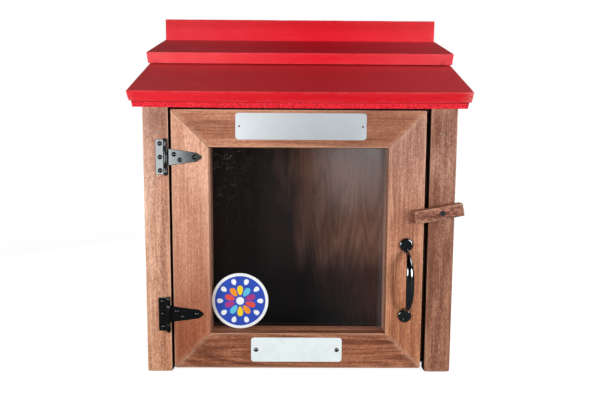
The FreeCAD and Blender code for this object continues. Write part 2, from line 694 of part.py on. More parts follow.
def fasten_cabinet():
    """The nails and screws that hold the case and the roof together."""
    left = (LEFT_POST_INNER - SIDE_INNER) / 2 - POST_NAIL_OFFSET
    right = (RIGHT_POST_INNER + SIDE_INNER) / 2 + POST_NAIL_OFFSET
    post_seats = [seat(x, 0, z) for x in (left, right) for z in POST_NAIL_HEIGHTS]
    posts = ["post_left", "post_right", "cleat_left", "cleat_right"]
    drive_in("post_nails", NAIL, post_seats, TO_FRONT, posts)

    cleat_middle = (BOARD + CLEAT_BACK) / 2
    side_places = [(cleat_middle, z) for z in SIDE_NAIL_HEIGHTS]
    side_places += [(depth, BOARD / 2) for depth in FLOOR_NAIL_DEPTHS]
    for side, outward, end in (("left", TO_LEFT, -1), ("right", TO_RIGHT, 1)):
        seats = [seat(end * HALF_WIDTH, depth, z) for depth, z in side_places]
        held = ["side_panel_" + side, "cleat_" + side, "floor_board"]
        drive_in("side_nails", NAIL, seats, outward, held)

    side_middle = HALF_WIDTH - BOARD / 2
    back_places = [(end * side_middle, z) for end in (-1, 1) for z in BACK_SCREW_HEIGHTS]
    back_places += [(end * FLOOR_SCREW_REACH, BOARD / 2) for end in (-1, 1)]
    seats = [seat(x, CABINET_DEPTH, z) for x, z in back_places]
    held = ["back_panel", "side_panel_left", "side_panel_right", "floor_board"]
    drive_in("back_screws", BACK_SCREW, seats, TO_BACK, held)

    ridge_screw_z = RIDGE_TOP - RIDGE_HEIGHT + RIDGE_SCREW_RISE
    ridge_seats = [seat(x, CABINET_DEPTH + BOARD, ridge_screw_z) for x in RIDGE_SCREW_REACHES]
    drive_in("ridge_screws", RIDGE_SCREW, ridge_seats, TO_BACK, ["ridge_board", "back_panel"])

    slope = math.radians(LOWER_SLOPE)
    out_below = Vector(0, math.sin(slope), -math.cos(slope))
    rows = ((ROOF_SCREW_SHORT, LOWER_BOARD_SCREW_DEPTH), (ROOF_SCREW_LONG, UPPER_BOARD_SCREW_DEPTH))
    for fastener, depth in rows:
        seats = [seat(x, depth, deck_underside(depth)) for x in ROOF_SCREW_REACHES]
        held = ["roof_deck", "roof_board_lower", "packing_strip", "roof_board_upper"]
        drive_in("roof_screws", fastener, seats, out_below, held)

    above = Vector(0, -math.sin(slope), math.cos(slope))
    seats = []
    for end in (-1, 1):
        for distance in DECK_NAIL_DISTANCES:
            depth, z = climb(DECK_TOP_FRONT, LOWER_SLOPE, distance)
            seats.append(seat(end * side_middle, depth, z))
    held = ["roof_deck", "side_panel_left", "side_panel_right"]
    drive_in("deck_nails", NAIL, seats, above, held)


def export_parts():
    """Writes each piece to its own file."""
    os.makedirs("parts", exist_ok=True)
    for name, shape in PARTS.items():
        solids = shape.Solids
        whole = solids[0] if len(solids) == 1 else Part.makeCompound(solids)
        whole.exportStep(os.path.join("parts", name + ".step"))
        print(name, len(solids), "solids", round(shape.Volume / 1000, 2), "cm3")


build_cabinet()
build_roof()
build_door_frame()
build_hinges()
build_turn_button()
build_handle()
build_plates()
fasten_door()
fasten_cabinet()
export_parts()
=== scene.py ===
import json
import math

import bmesh
import bpy
from mathutils import Matrix, Vector, noise

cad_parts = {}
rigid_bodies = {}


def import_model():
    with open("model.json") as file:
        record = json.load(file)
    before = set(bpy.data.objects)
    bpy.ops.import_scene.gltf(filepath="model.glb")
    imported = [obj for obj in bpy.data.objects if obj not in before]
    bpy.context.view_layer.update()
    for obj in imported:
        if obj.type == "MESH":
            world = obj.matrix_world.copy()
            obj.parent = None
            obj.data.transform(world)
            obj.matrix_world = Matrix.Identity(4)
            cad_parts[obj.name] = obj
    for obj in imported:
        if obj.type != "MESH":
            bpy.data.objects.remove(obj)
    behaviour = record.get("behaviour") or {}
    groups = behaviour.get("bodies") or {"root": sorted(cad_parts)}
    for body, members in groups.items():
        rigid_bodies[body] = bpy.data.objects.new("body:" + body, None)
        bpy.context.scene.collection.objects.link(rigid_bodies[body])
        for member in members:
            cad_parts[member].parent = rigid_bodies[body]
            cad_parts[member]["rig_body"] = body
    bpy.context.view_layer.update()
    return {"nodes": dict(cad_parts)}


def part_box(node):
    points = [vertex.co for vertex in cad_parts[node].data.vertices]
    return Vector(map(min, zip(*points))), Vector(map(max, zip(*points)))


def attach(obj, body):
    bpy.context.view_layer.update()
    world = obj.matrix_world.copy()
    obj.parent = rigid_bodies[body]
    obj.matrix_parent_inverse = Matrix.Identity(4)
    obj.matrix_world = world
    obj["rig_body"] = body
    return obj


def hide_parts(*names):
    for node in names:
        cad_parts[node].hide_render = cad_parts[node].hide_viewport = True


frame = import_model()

# The camera stands in front of the door, a little left of the middle, and looks slightly down.
CAMERA_PLACE = Vector((-0.0049, -0.8635, 0.3757))
CAMERA_DOWN = 0.0797
CAMERA_YAW = 0.0065
CAMERA_ROLL = 0.0055
FOCAL_PIXELS = 430.0
IMAGE_WIDTH = 600.0
SENSOR = 36.0

MM = 0.001
X_AXIS = Vector((1, 0, 0))
Y_AXIS = Vector((0, 1, 0))
Z_AXIS = Vector((0, 0, 1))


def srgb(red, green, blue):
    """A linear colour from screen values between 0 and 255."""
    values = []
    for value in (red, green, blue):
        share = value / 255
        values.append(share / 12.92 if share <= 0.04045 else ((share + 0.055) / 1.055) ** 2.4)
    return (*values, 1.0)


RED = srgb(222, 16, 34)
RED_TONES = (srgb(208, 12, 28), RED, srgb(236, 26, 44))
# A lighter copy of the red for the upper board, the ridge and the deck edge: painted light.
UPPER_RED_TONES = (srgb(222, 18, 36), srgb(236, 24, 44), srgb(248, 40, 60))
RED_WORN = srgb(240, 90, 96)
# Deep red for pits in the deck edge, and painted shade on faces that look up.
DARK_RED = srgb(110, 10, 20)
PALE_RED = srgb(250, 110, 112)
FADED = srgb(255, 150, 150)
SCUFF = srgb(214, 120, 118)
CHIP = srgb(96, 22, 24)
PALE_ARRIS = srgb(244, 196, 164)
# Nearly black, for painted shade in the door gap and in the mitre joints.
GAP_BLACK = srgb(16, 8, 5)

# The left post and stile are paler than the right ones: partly their own tone, partly painted light from a
# glare on the left.
LEFT_STILE = (srgb(180, 124, 98), srgb(214, 158, 131), srgb(246, 196, 168))
LEFT_POST = (srgb(138, 94, 76), srgb(198, 149, 127), srgb(240, 198, 172))
RIGHT_STILE = (srgb(120, 76, 61), srgb(165, 116, 98), srgb(212, 166, 146))
RIGHT_POST = (srgb(96, 60, 46), srgb(147, 99, 79), srgb(196, 150, 126))
TOP_RAIL = (srgb(124, 74, 52), srgb(178, 117, 89), srgb(214, 154, 122))
BOTTOM_RAIL = (srgb(96, 50, 34), srgb(143, 84, 57), srgb(194, 130, 98))
BUTTON = (srgb(58, 26, 18), srgb(130, 75, 57), srgb(204, 144, 116))
SIDE = (srgb(112, 70, 50), srgb(162, 112, 88), srgb(204, 152, 126))
INNER = (srgb(40, 26, 21), srgb(60, 40, 32), srgb(84, 60, 48))
BACK = (srgb(122, 78, 60), srgb(158, 110, 90), srgb(182, 134, 112))
# Painted light: the level glazing strips are paler than the stain, for the light that falls on the ledge.
LEDGE_PAINTED_LIGHT = (srgb(144, 88, 62), srgb(186, 124, 96), srgb(218, 158, 128))
LEFT_STRIP = (srgb(92, 58, 46), srgb(134, 94, 78), srgb(170, 124, 106))
# Painted light: the right strip is a much lighter copy of the left one, as light from the left falls on it.
RIGHT_STRIP_PAINTED_LIGHT = (srgb(158, 108, 90), srgb(212, 158, 134), srgb(242, 190, 164))

# Tints along a board, partly stain and partly painted shade: a direction, a colour to multiply by, and where
# the tint starts and is whole.
# Painted shade: the left stile darkens toward its foot, where less light falls.
LEFT_STILE_PAINTED_SHADE = ((Z_AXIS, srgb(190, 150, 126), 0.36, 0.08),)
# Painted shade on the left post: darker toward its foot, a painted shadow of the roof at its top, and darker
# toward the door gap.
LEFT_POST_PAINTED_SHADE = (
    (Z_AXIS, srgb(250, 236, 216), 0.3, 0.04),
    (Z_AXIS, srgb(204, 198, 198), 0.4, 0.47),
    (X_AXIS, srgb(236, 218, 206), -0.256, -0.236),
)
RIGHT_STILE_TINTS = ((Z_AXIS, srgb(255, 226, 190), 0.42, 0.2),)
# Painted shade on the right post: darker toward its foot and toward the door gap.
RIGHT_POST_PAINTED_SHADE = (
    (Z_AXIS, srgb(236, 222, 210), 0.38, 0.22),
    (X_AXIS, srgb(222, 200, 186), 0.242, 0.232),
)
TOP_RAIL_TINTS = ((X_AXIS, srgb(212, 200, 192), 0.0, 0.16),)
# Painted shade on the inside of the back: nearly black toward its left and darker toward its bottom.
BACK_PAINTED_SHADE = (
    (Vector((1, 0, 0.3)), srgb(50, 38, 38), 0.2, 0.05),
    (Z_AXIS, srgb(150, 130, 122), 0.21, 0.13),
)
LOWER_RED_TINTS = ((X_AXIS, srgb(244, 190, 216), -0.16, 0.04),)
UPPER_RED_TINTS = ((X_AXIS, srgb(238, 224, 232), -0.14, 0.16),)
RIDGE_TINTS = ((Z_AXIS, srgb(242, 236, 226), 0.665, 0.68),)
# Painted shade: the sign plate darkens toward its lower right.
SIGN_PAINTED_SHADE = ((Vector((1, 0, -1.5)), srgb(220, 221, 222), -0.76, -0.56),)

# Dust with a painted sheen, on faces that look up.
DUST_AND_SHEEN = srgb(206, 196, 194)
# Pane haze: dust and painted reflection on the sheet.
PANE_HAZE_AND_REFLECTION = srgb(150, 150, 152)
PANE_SPECK = srgb(225, 222, 218)
PANE_FILM_AND_REFLECTION = 0.24
PANE_DUST_AND_REFLECTION = 0.1
PANE_CLEAR = 0.006


# Painting: a small wrapper round a material's nodes.


class Paint:
    """A material whose nodes are made and joined by short calls."""

    def __init__(self, name):
        self.material = bpy.data.materials.new(name)
        self.material.use_nodes = True
        self.tree = self.material.node_tree
        self.shader = self.tree.nodes["Principled BSDF"]
        coordinates = self.tree.nodes.new("ShaderNodeTexCoord")
        self.place = coordinates.outputs["Object"]
        self.facing = coordinates.outputs["Normal"]

    @classmethod
    def over(cls, tree):
        """The same calls for a tree that belongs to no material."""
        paint = cls.__new__(cls)
        paint.tree = tree
        return paint

    def node(self, kind, **settings):
        made = self.tree.nodes.new(kind)
        for name, value in settings.items():
            setattr(made, name, value)
        return made

    def feed(self, socket, value):
        if isinstance(value, bpy.types.NodeSocket):
            self.tree.links.new(value, socket)
        else:
            socket.default_value = value

    def moved(self, vector, scale=(1, 1, 1), shift=(0, 0, 0)):
        mapping = self.node("ShaderNodeMapping")
        self.feed(mapping.inputs["Vector"], vector)
        mapping.inputs["Scale"].default_value = scale
        mapping.inputs["Location"].default_value = shift
        return mapping.outputs["Vector"]

    def noise(self, vector, scale, detail=3.0, roughness=0.55, distortion=0.0):
        made = self.node("ShaderNodeTexNoise")
        self.feed(made.inputs["Vector"], vector)
        made.inputs["Scale"].default_value = scale
        made.inputs["Detail"].default_value = detail
        made.inputs["Roughness"].default_value = roughness
        made.inputs["Distortion"].default_value = distortion
        return made.outputs["Fac"]

    def cells(self, vector, scale):
        made = self.node("ShaderNodeTexVoronoi")
        self.feed(made.inputs["Vector"], vector)
        made.inputs["Scale"].default_value = scale
        return made.outputs["Distance"]

    def range(self, value, low, high, to_low=0.0, to_high=1.0):
        made = self.node("ShaderNodeMapRange")
        self.feed(made.inputs["Value"], value)
        made.inputs["From Min"].default_value = low
        made.inputs["From Max"].default_value = high
        made.inputs["To Min"].default_value = to_low
        made.inputs["To Max"].default_value = to_high
        return made.outputs["Result"]

    def sum(self, first, second):
        return self.math("ADD", first, second)

    def times(self, first, second):
        return self.math("MULTIPLY", first, second)

    def choose(self, share, first, second):
        """The first number where share is 0 and the second where it is 1."""
        made = self.node("ShaderNodeMix", data_type="FLOAT")
        self.feed(made.inputs[0], share)
        self.feed(made.inputs[2], first)
        self.feed(made.inputs[3], second)
        return made.outputs[0]

    def math(self, operation, first, second=0.0, clamp=False):
        made = self.node("ShaderNodeMath", operation=operation, use_clamp=clamp)
        self.feed(made.inputs[0], first)
        self.feed(made.inputs[1], second)
        return made.outputs[0]

    def layers(self, *patterns):
        """Patterns about one half, added up with their weights, and the sum is about one half too."""
        total = 0.5 - sum(weight for _, weight in patterns) / 2
        for pattern, weight in patterns:
            made = self.node("ShaderNodeMath", operation="MULTIPLY_ADD")
            self.feed(made.inputs[0], pattern)
            made.inputs[1].default_value = weight
            self.feed(made.inputs[2], total)
            total = made.outputs[0]
        return total

    def mix(self, share, first, second, blend="MIX"):
        made = self.node("ShaderNodeMix", data_type="RGBA", blend_type=blend)
        self.feed(made.inputs["Factor"], share)
        self.feed(made.inputs[6], first)
        self.feed(made.inputs[7], second)
        return made.outputs[2]

    def ramp(self, value, stops):
        made = self.node("ShaderNodeValToRGB")
        self.feed(made.inputs["Fac"], value)
        elements = made.color_ramp.elements
        while len(elements) < len(stops):
            elements.new(0.5)
        for element, (position, colour) in zip(elements, stops):
            element.position = position
            element.color = colour
        return made.outputs["Color"]

    def part(self, vector, axis):
        made = self.node("ShaderNodeSeparateXYZ")
        self.feed(made.inputs[0], vector)
        return made.outputs[axis]

    def along(self, direction):
        """How far a place lies along a direction."""
        made = self.node("ShaderNodeVectorMath", operation="DOT_PRODUCT")
        self.feed(made.inputs[0], self.place)
        made.inputs[1].default_value = direction
        return made.outputs["Value"]

    def tinted(self, colour, tints, wobble=0.0, share=1.0):
        for direction, tint, start, whole in tints:
            place = self.sum(self.along(direction), wobble)
            colour = self.mix(self.times(self.range(place, start, whole), share), colour, tint, "MULTIPLY")
        return colour

    def mark(self, name):
        """A number that the mesh holds at each point."""
        return self.node("ShaderNodeAttribute", attribute_name=name).outputs["Fac"]

    def bump(self, height, strength, distance):
        made = self.node("ShaderNodeBump")
        made.inputs["Strength"].default_value = strength
        made.inputs["Distance"].default_value = distance
        self.feed(made.inputs["Height"], height)
        self.feed(self.shader.inputs["Normal"], made.outputs["Normal"])

    def colour(self, value):
        self.feed(self.shader.inputs["Base Color"], value)

    def set(self, **values):
        for name, value in values.items():
            self.feed(self.shader.inputs[name.replace("_", " ")], value)
        return self.material


def stretched(grain, share):
    """A scale that draws a pattern out along the grain, which runs along X or Z."""
    return (share, 1, 1) if grain == "X" else (1, 1, share)


def timber(name, grain, tones, seed, broad=0.6, bands=0.4, streak=0.7, strand=0.7, cloud=0.7,
           speckle=0.8, rings=0.2, seams=0.0, saw=0.0, relief=0.5, worn=0.85, joint=0.0, tints=(),
           inside=False, gap=None):
    """Stained pine in dark, middle and light tones.

    Inside, only faces toward the door are tinted. Beyond X = gap, a post is painted dark below its front, as
    painted shade in the narrow door gap.
    """
    paint = Paint(name)
    shift = (seed * 0.37, seed * 0.71, seed * 0.53)

    def pattern(share, scale, detail=3, roughness=0.55, distortion=0.0):
        return paint.noise(paint.moved(paint.place, stretched(grain, share), shift), scale, detail,
                           roughness, distortion)

    wide = pattern(0.3, 22, 2)
    lines = pattern(0.05, 130, 3, 0.6, 0.25)
    strands = pattern(0.03, 430, 2, 0.5)
    blotches = pattern(0.45, 300, 3, 0.6)
    dots = pattern(0.7, 620, 2, 0.6)
    across = paint.noise(paint.moved(paint.place, stretched(grain, 4.0), shift), 130, 3, 0.6)
    growth = paint.math("PINGPONG", paint.times(pattern(0.13, 11, 2, 0.4, 0.2), 26.0), 0.5)
    growth = paint.times(growth, 2.0)
    value = paint.layers((wide, broad), (pattern(0.015, 55, 2), bands), (lines, streak),
                         (strands, strand), (blotches, cloud), (dots, speckle), (growth, 0.4 * rings),
                         (across, saw))
    dark, middle, light = tones
    colour = paint.ramp(value, ((0.1, dark), (0.5, middle), (0.9, light)))
    fleck = paint.range(pattern(0.22, 480, 2), 0.32, 0.24)
    colour = paint.mix(paint.times(fleck, 0.3), colour, dark, "MULTIPLY")
    if seams:
        off_line = paint.math("ABSOLUTE", paint.sum(pattern(0.012, 52, 1, 0.3), -0.5))
        seam = paint.times(paint.range(off_line, 0.010, 0.002), paint.range(wide, 0.42, 0.55))
        colour = paint.mix(paint.times(seam, seams), colour, light)
    wobble = paint.times(paint.sum(wide, -0.5), 0.1)
    share = paint.range(paint.part(paint.facing, "Y"), -0.4, -0.6) if inside else 1.0
    colour = paint.tinted(colour, tints, wobble, share)
    rubbed = paint.times(paint.mark("arris"), paint.range(pattern(0.1, 90, 2), 0.3, 0.52))
    colour = paint.mix(paint.times(rubbed, worn), colour, PALE_ARRIS)
    # Painted shade: a dark line at the mitred ends stands for the shade in the joint's groove.
    if joint:
        colour = paint.mix(paint.times(paint.mark("end"), joint), colour, GAP_BLACK)
    # Painted shade: the post's side in the narrow door gap is nearly black behind its front.
    if gap:
        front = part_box("post_left")[0].y
        from_middle = paint.math("ABSOLUTE", paint.part(paint.place, "X"))
        inward = paint.range(from_middle, gap + 0.0014, gap + 0.0004)
        deep = paint.range(paint.part(paint.place, "Y"), front + 0.0002, front + 0.002)
        colour = paint.mix(paint.times(inward, deep), colour, GAP_BLACK)
    paint.colour(colour)

    height = paint.layers((blotches, 0.6), (dots, 0.5), (strands, 0.4), (lines, 0.5), (across, 0.8 * saw))
    paint.bump(height, relief, 0.0008)
    paint.feed(paint.shader.inputs["Roughness"], paint.range(value, 0.2, 0.8, 0.66, 0.52))
    return paint.set(Specular_IOR_Level=0.25)


def red_paint(name, seed, tones, fade=0.0, dust=0.0, tints=()):
    """Red stain over pine: grain shows in it, its ends are faded and scuffed, and its top has painted shade
    and dust with a painted sheen.
    """
    paint = Paint(name)
    shift = (seed * 0.41, seed * 0.67, seed * 0.29)

    def pattern(share, scale, detail=3, roughness=0.55, distortion=0.0):
        return paint.noise(paint.moved(paint.place, (share, 1, 1), shift), scale, detail, roughness,
                           distortion)

    streak = pattern(0.05, 120, 3, 0.6, 0.3)
    fibre = pattern(0.06, 620, 3, 0.65)
    dots = pattern(0.6, 640, 2, 0.6)
    value = paint.layers((pattern(0.15, 18, 3), 0.5), (streak, 0.4), (fibre, 0.5), (dots, 0.7))
    deep, middle, bright = tones
    colour = paint.ramp(value, ((0.25, deep), (0.5, middle), (0.75, bright)))

    upward = paint.range(paint.part(paint.facing, "Z"), 0.35, 0.75)
    ends = paint.range(paint.math("ABSOLUTE", paint.sum(paint.part(paint.place, "X"), -0.04)), 0.02, 0.32)
    faded = paint.times(ends, paint.range(pattern(1, 30, 4), 0.3, 0.7, 0.6, 1.0))
    colour = paint.mix(paint.times(faded, fade), colour, FADED)
    colour = paint.tinted(colour, tints)
    # Painted shade: faces that look up are darkened toward a deep red, as less light falls on them.
    colour = paint.mix(paint.times(upward, 0.1), colour, DARK_RED)
    # Dust and a painted sheen: a grey share on faces that look up, more at the faded ends.
    dust_and_sheen_share = paint.times(upward, paint.range(faded, 0, 1, 0.4 * dust, dust))
    colour = paint.mix(paint.times(dust_and_sheen_share, paint.range(dots, 0.3, 0.7, 0.6, 1.4)), colour, DUST_AND_SHEEN)
    edge = paint.times(paint.mark("arris"), paint.range(pattern(0.3, 160, 3), 0.3, 0.6))
    colour = paint.mix(paint.times(edge, 0.7), colour, RED_WORN)
    ragged = paint.range(pattern(0.4, 420, 3, 0.7), 0.40, 0.56)
    for mark, shade in (("scuff", SCUFF), ("chip", CHIP)):
        colour = paint.mix(paint.times(paint.mark(mark), ragged), colour, shade)
    paint.colour(colour)
    paint.bump(paint.layers((fibre, 0.4), (streak, 0.3), (dots, 0.5)), 0.3, 0.0006)
    paint.feed(paint.shader.inputs["Roughness"], paint.range(upward, 0, 1, 0.46, 0.55))
    return paint.set(Specular_IOR_Level=0.22)


def plywood_edge(name):
    """The red plywood deck. Its sawn edge is rough, with dark and pale marks, and dirt and painted shade lie
    along its top.
    """
    paint = Paint(name)
    plies = paint.noise(paint.moved(paint.place, (0.5, 1, 1)), 700, 3, 0.65, 0.4)
    holes = paint.noise(paint.moved(paint.place, (0.5, 1, 1), (0.3, 0, 0)), 560, 2, 0.6)
    broad = paint.noise(paint.place, 24, 2)
    deep, middle, bright = UPPER_RED_TONES
    stops = ((0.3, deep), (0.47, middle), (0.58, bright), (0.72, PALE_RED))
    colour = paint.ramp(plies, stops)
    pitted = paint.times(paint.range(holes, 0.45, 0.34), paint.range(broad, 0.25, 0.6, 0.4, 1.0))
    colour = paint.mix(pitted, colour, DARK_RED)
    # Dirt and painted shade: a darker band along the top of the edge, under the roof board.
    up, top = max(main_planes("roof_deck"), key=lambda plane: plane[0].z)
    colour = paint.tinted(colour, ((up, srgb(196, 140, 150), top - 0.0018, top - 0.0009),))
    paint.colour(colour)
    paint.bump(paint.sum(plies, holes), 0.7, 0.0009)
    return paint.set(Roughness=0.62, Specular_IOR_Level=0.25)


def coated_iron(name, colour, roughness, relief, specks=0.0, gloss=0.5, crown=None, ior=1.5):
    """Paint over steel, with a faint orange peel and rubbed spots. Behind a head's crown it is dull."""
    paint = Paint(name)
    peel = paint.noise(paint.place, 900, 3, 0.5)
    rubbed = paint.range(paint.noise(paint.place, 240, 4, 0.7), 0.62, 0.78)
    paint.colour(paint.mix(paint.times(rubbed, specks), colour, srgb(120, 122, 124)))
    uneven = paint.range(peel, 0.3, 0.7, roughness * 0.85, roughness * 1.15)
    paint.feed(paint.shader.inputs["Roughness"], uneven)
    paint.bump(peel, relief, 0.0002)
    if crown:
        gloss = paint.range(paint.part(paint.place, "Y"), crown, crown + 0.0004, gloss, 0.04)
    return paint.set(Specular_IOR_Level=gloss, Specular_Tint=(0.9, 0.97, 1, 1), IOR=ior)


def bright_metal(name, colour, roughness, brush=None, tints=()):
    """Bare metal with brushing along X, or with a fine even grain."""
    paint = Paint(name)
    stretch = (0.02, 1, 1) if brush else (1, 1, 1)
    lines = paint.noise(paint.moved(paint.place, stretch), 2600 if brush else 700, 4, 0.7)
    cloud = paint.noise(paint.place, 14, 3, 0.5)
    deep = tuple(0.9 * c for c in colour[:3]) + (1.0,)
    colour = paint.mix(paint.range(paint.sum(lines, cloud), 0.7, 1.3), deep, colour)
    paint.colour(paint.tinted(colour, tints))
    uneven = paint.range(lines, 0.3, 0.7, roughness * 0.8, roughness * 1.2)
    paint.feed(paint.shader.inputs["Roughness"], uneven)
    paint.bump(lines, 0.12, 0.0002)
    return paint.set(Metallic=1.0)


def plastic_print(name, colour, roughness=0.32):
    """Printed vinyl or a smooth coating, with slight soiling."""
    paint = Paint(name)
    soil = paint.range(paint.noise(paint.place, 55, 5, 0.65), 0.45, 0.8)
    dull = tuple(0.9 * c for c in colour[:3]) + (1.0,)
    paint.colour(paint.mix(soil, colour, dull))
    paint.bump(paint.noise(paint.place, 600, 2, 0.5), 0.05, 0.0002)
    paint.feed(paint.shader.inputs["Roughness"], paint.range(soil, 0, 1, roughness, roughness + 0.12))
    return paint.set(Specular_IOR_Level=0.4)


def dusty_pane(name):
    """Clear sheet with dust specks at its upper left, a haze of dust and painted reflection at its upper
    right round an arc, and a painted highlight along its right edge.
    """
    paint = Paint(name)
    across = paint.part(paint.place, "X")
    height = paint.part(paint.place, "Z")
    low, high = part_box("glazing_pane")
    wisps = paint.noise(paint.moved(paint.place, (1, 1, 0.6)), 26, 4, 0.5, 0.6)
    cloud = paint.range(wisps, 0.3, 0.7, 0.8, 1.1)
    # Dust and painted reflection: a haze toward the upper right.
    film_and_reflection = paint.times(paint.range(across, 0.015, 0.08), paint.range(height, 0.275, 0.395, 0.06, 1.0))
    film_and_reflection = paint.times(film_and_reflection, cloud)
    # Dust and painted reflection: a greyer corner outside an arc at the upper right.
    from_arc_centre = paint.node("ShaderNodeVectorMath", operation="LENGTH")
    centre = (0.075 - high.x, 0, 0.08 - high.z)
    flat = paint.moved(paint.place, (1, 0, 1), centre)
    paint.feed(from_arc_centre.inputs[0], flat)
    corner = paint.range(from_arc_centre.outputs["Value"], 0.062, 0.07)
    for place, start in ((across, high.x - 0.085), (height, high.z - 0.1)):
        corner = paint.times(corner, paint.range(place, start, start + 0.03))
    # Painted highlight: a paler strip along the pane's right edge.
    edge = paint.range(across, 0.143, 0.149)
    dots = paint.range(paint.cells(paint.place, 420), 0.24, 0.14)
    sown = paint.range(paint.noise(paint.place, 60, 4, 0.75), 0.5, 0.64)
    left = paint.times(paint.range(across, -0.03, -0.13), paint.range(height, 0.24, 0.38))
    specks = paint.times(paint.times(dots, sown), paint.range(left, 0, 1, 0.06, 1.0))
    alpha = paint.sum(paint.times(film_and_reflection, PANE_FILM_AND_REFLECTION), paint.times(specks, 0.55))
    alpha = paint.sum(alpha, paint.times(paint.math("MAXIMUM", corner, edge), PANE_DUST_AND_REFLECTION))
    paint.colour(paint.mix(specks, PANE_HAZE_AND_REFLECTION, PANE_SPECK))
    paint.feed(paint.shader.inputs["Alpha"], paint.sum(alpha, PANE_CLEAR))
    paint.material.surface_render_method = "BLENDED"
    return paint.set(Roughness=0.08, Specular_IOR_Level=0.5)


# Boards: each one is rebuilt from its solid's main planes, with worn arrises.


def main_planes(node):
    """A board's main planes, as (normal, distance along it), without the floors of its nail holes."""
    areas = {}
    for polygon in frame["nodes"][node].data.polygons:
        distance = polygon.center.dot(polygon.normal)
        plane = (*(round(c, 3) for c in polygon.normal), round(distance, 4))
        areas[plane] = areas.get(plane, 0.0) + polygon.area
    planes = {}
    for x, y, z, distance in sorted(areas, key=areas.get, reverse=True):
        planes.setdefault((x, y, z), distance)
    largest = list(planes.items())[:6]
    return [(Vector(normal).normalized(), distance) for normal, distance in largest]


def corners_of(node, axes):
    """A board's eight corners, keyed by the low (0) or high (1) end of each axis."""
    planes = main_planes(node)
    ends = []
    for axis in axes:
        ends.append([max(planes, key=lambda plane: plane[0].dot(way)) for way in (-axis, axis)])
    corners = {}
    for i in (0, 1):
        for j in (0, 1):
            for k in (0, 1):
                chosen = (ends[0][i], ends[1][j], ends[2][k])
                rows = Matrix([normal for normal, _ in chosen])
                corners[i, j, k] = rows.inverted() @ Vector([distance for _, distance in chosen])
    return corners


def blended(corners, shares):
    """The point at three shares of the way between a board's corners."""
    point = Vector()
    for (i, j, k), corner in corners.items():
        weight = shares[0] if i else 1 - shares[0]
        weight *= shares[1] if j else 1 - shares[1]
        weight *= shares[2] if k else 1 - shares[2]
        point += weight * corner
    return point


JOINT_REACH = 0.5


def ticks(size, spacing, radius):
    """Grid lines across a board: close together at its rounded arrises, even between them."""
    near = [share * radius for share in (0, 0.12, 0.35, 0.7, 1.15, 2.2)]
    near = [tick for tick in near if tick < 0.45 * size]
    inner = size - 2 * near[-1]
    steps = max(1, round(inner / spacing))
    middle = [near[-1] + inner * step / steps for step in range(1, steps)]
    return near + middle + [size - tick for tick in reversed(near)]


def surface_grid(counts):
    """The grid points on a box's surface, and the quads between them."""
    last = [count - 1 for count in counts]
    points = {}
    for i in range(counts[0]):
        for j in range(counts[1]):
            for k in range(counts[2]):
                if i in (0, last[0]) or j in (0, last[1]) or k in (0, last[2]):
                    points[i, j, k] = len(points)
    quads = []
    for axis in range(3):
        first, second = [other for other in range(3) if other != axis]
        for side in (0, last[axis]):
            for a in range(last[first]):
                for b in range(last[second]):
                    quad = []
                    for da, db in ((0, 0), (1, 0), (1, 1), (0, 1)):
                        place = [0, 0, 0]
                        place[axis] = side
                        place[first] = a + da
                        place[second] = b + db
                        quad.append(points[tuple(place)])
                    outward = (side != 0) != (axis == 1)
                    quads.append(quad if outward else quad[::-1])
    return list(points), quads


def board(node, material, axes=(Z_AXIS, X_AXIS, Y_AXIS), spacing=9.0, radius=1.2, ragged=0.35,
          warp=0.0, bow=0.0, inset=0.12, spots=(), holes=(), seed=0):
    """A worn board in place of a CAD one. Its sizes are in mm, and its front ends bow up.

    A spot of extra wear is (point, reach, depth, mark). A hole is (point, radius, depth) in its front face.
    """
    corners = corners_of(node, axes)
    size = []
    for axis in range(3):
        low = [corner for key, corner in corners.items() if not key[axis]]
        high = [corner for key, corner in corners.items() if key[axis]]
        size.append(sum((b - a).length for a, b in zip(low, high)) / 4)
    lines = [ticks(length, spacing * MM, radius * MM) for length in size]
    keys, quads = surface_grid([len(line) for line in lines])
    offset = Vector((3.1 * seed, 1.7 * seed, 2.3 * seed))

    places = []
    marks = {"arris": [], "end": [], "scuff": [], "chip": []}
    for key in keys:
        flat = Vector([line[index] for line, index in zip(lines, key)])
        there = blended(corners, [flat[axis] / size[axis] for axis in range(3)])
        bite = 0.0
        local = {"scuff": 0.0, "chip": 0.0, "bare": 0.0}
        for point, reach, depth, mark in spots:
            away = (there - point).length / (reach * MM)
            bite += depth * math.exp(-away * away)
            local[mark] += math.exp(-away * away)
        wave = noise.noise(there * 45 + offset) * 0.6 + noise.noise(there * 160 + offset) * 0.4
        round_off = (radius + ragged * wave + bite) * MM
        core = Vector([min(max(flat[a], round_off), size[a] - round_off) for a in range(3)])
        out = (flat - core).normalized()
        swell = warp * noise.noise(there * 14 - offset)
        worn = core + out * (round_off - (inset + max(0.0, swell)) * MM)
        place = blended(corners, [worn[axis] / size[axis] for axis in range(3)])
        place.z += bow * MM * (2 * flat.x / size[0] - 1) ** 2 * (1 - flat.y / size[1])
        for point, reach, depth in holes:
            if (there - point).length < reach * MM:
                place.y += depth * MM
        places.append(place)
        gaps = sorted(min(flat[axis], size[axis] - flat[axis]) for axis in range(3))
        marks["arris"].append(math.exp(-gaps[1] / (1.3 * radius * MM)))
        to_end = min(flat.x, size[0] - flat.x)
        marks["end"].append(math.exp(-to_end / (JOINT_REACH * MM)))
        for mark in ("scuff", "chip"):
            marks[mark].append(min(1.0, local[mark]))

    mesh = bpy.data.meshes.new("worn_" + node)
    mesh.from_pydata(places, [], quads)
    for name, values in marks.items():
        mesh.attributes.new(name, "FLOAT", "POINT").data.foreach_set("value", values)
    mesh.shade_smooth()
    mesh.materials.append(material)
    return stand_in(bpy.data.objects.new("worn_" + node, mesh), node)


